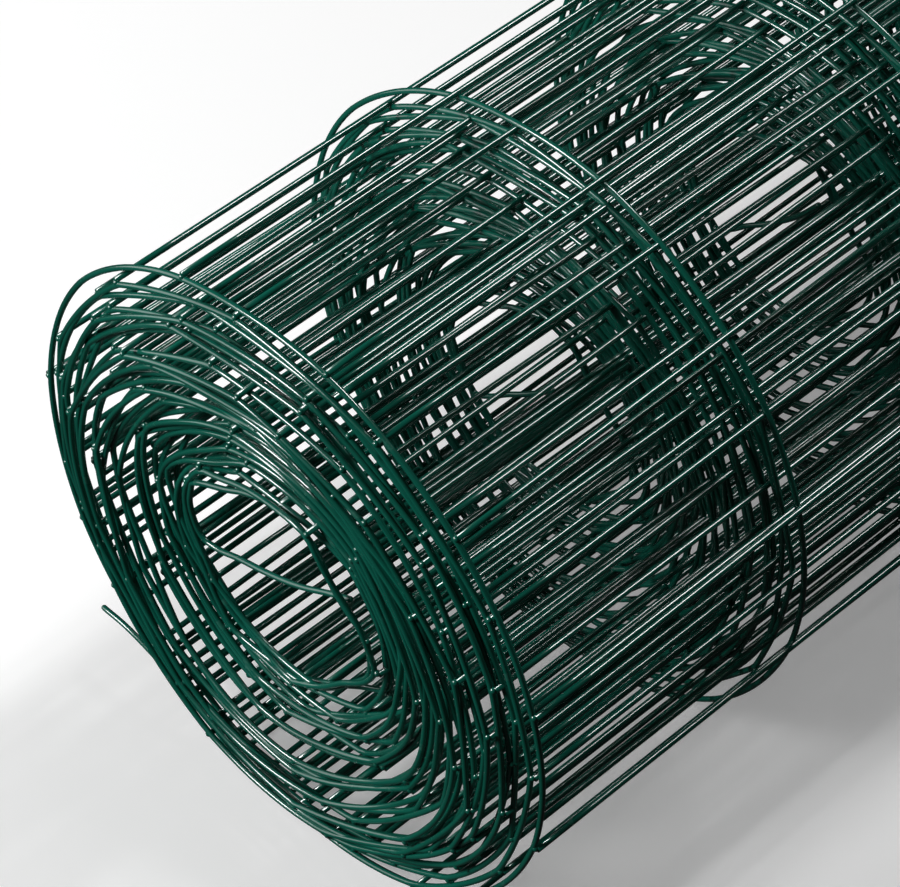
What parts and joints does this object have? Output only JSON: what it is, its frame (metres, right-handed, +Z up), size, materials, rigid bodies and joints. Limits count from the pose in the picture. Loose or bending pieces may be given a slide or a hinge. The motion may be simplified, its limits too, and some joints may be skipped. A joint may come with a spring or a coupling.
{
  "type": "roll of wire fencing",
  "caption": "Lying roll of green plastic-coated welded wire mesh fencing, wound on itself with an open bore along its axis.",
  "frame": {"origin": "on the ground under the middle of the roll", "axes": "+X along the roll's axis from its front end to its back end, +Z up"},
  "size_m": [0.6198, 0.2002, 0.2004],
  "materials": {
    "coated_wire": "glossy dark green PVC coat on steel wire, slightly worn"
  },
  "bodies": {
    "root": {"fence_roll": "coated_wire"}
  },
  "joints": []
}
